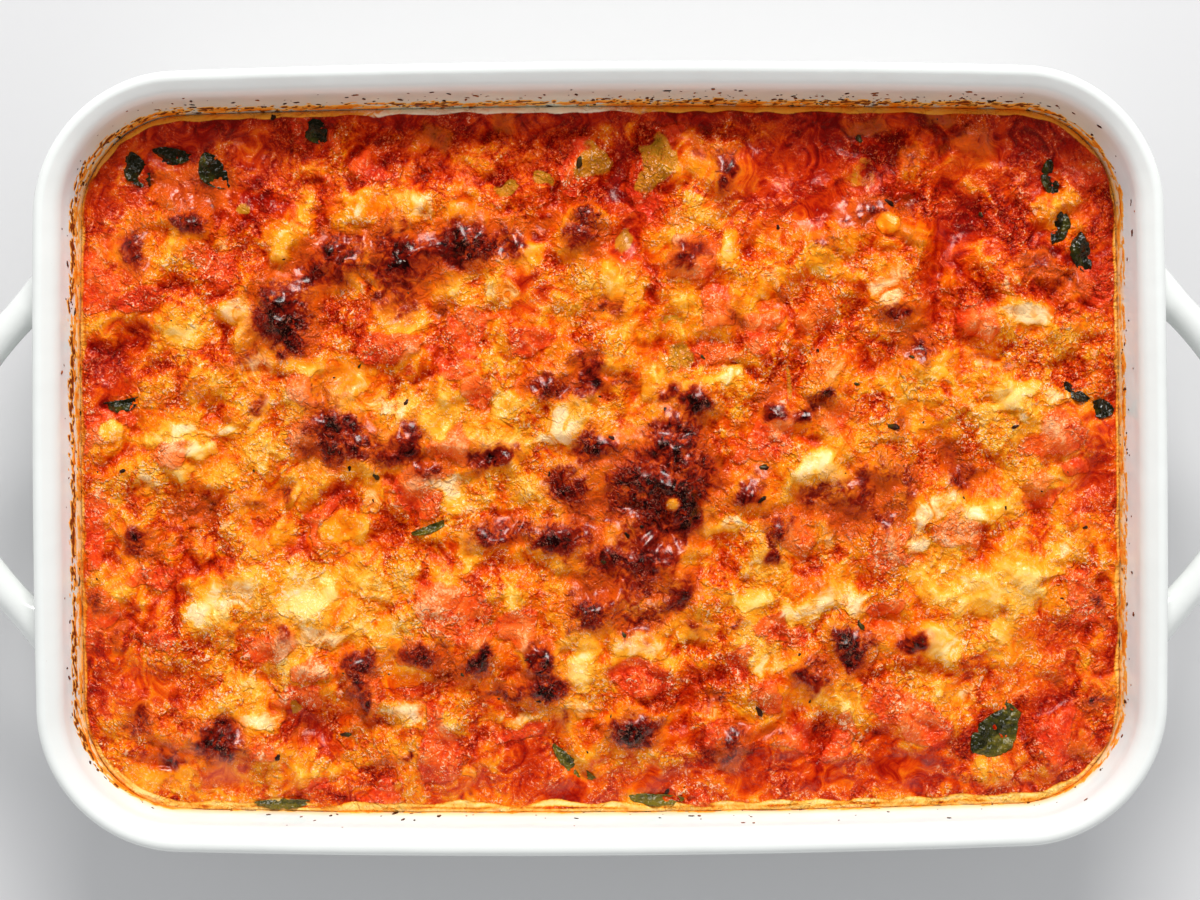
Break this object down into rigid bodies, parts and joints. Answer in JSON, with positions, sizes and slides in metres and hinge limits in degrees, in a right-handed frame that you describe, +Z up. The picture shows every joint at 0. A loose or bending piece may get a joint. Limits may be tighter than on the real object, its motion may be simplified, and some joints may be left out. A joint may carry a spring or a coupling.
{
  "type": "cheese lasagna in a baking dish",
  "caption": "Baked cheese lasagna with basil, browned in spots, in the white oblong loop-handled baking dish it was cooked in.",
  "frame": {"origin": "the middle of the dish's foot, on the surface it stands on", "axes": "+X along the dish's length, from handle to handle, +Y across it, +Z up"},
  "size_m": [0.406, 0.238, 0.066],
  "materials": {
    "white_glaze": "glossy white glaze, with baked-on sauce and specks round the inside above the food",
    "baked_top": "baked cheese, tomato sauce and pasta: orange and red, yellow where cheese lies, browned to black on the peaks, oily",
    "basil": "basil leaf cooked dark green to black, with an oily sheen"
  },
  "bodies": {
    "root": {"dish": "white_glaze", "lasagna": "baked_top", "leaf_01": "basil", "leaf_02": "basil", "leaf_03": "basil", "leaf_04": "basil", "leaf_05": "basil", "leaf_06": "basil", "leaf_07": "basil", "leaf_08": "basil", "leaf_09": "basil", "leaf_10": "basil", "leaf_11": "basil", "leaf_12": "basil", "leaf_13": "basil", "leaf_14": "basil", "leaf_15": "basil"}
  },
  "joints": []
}
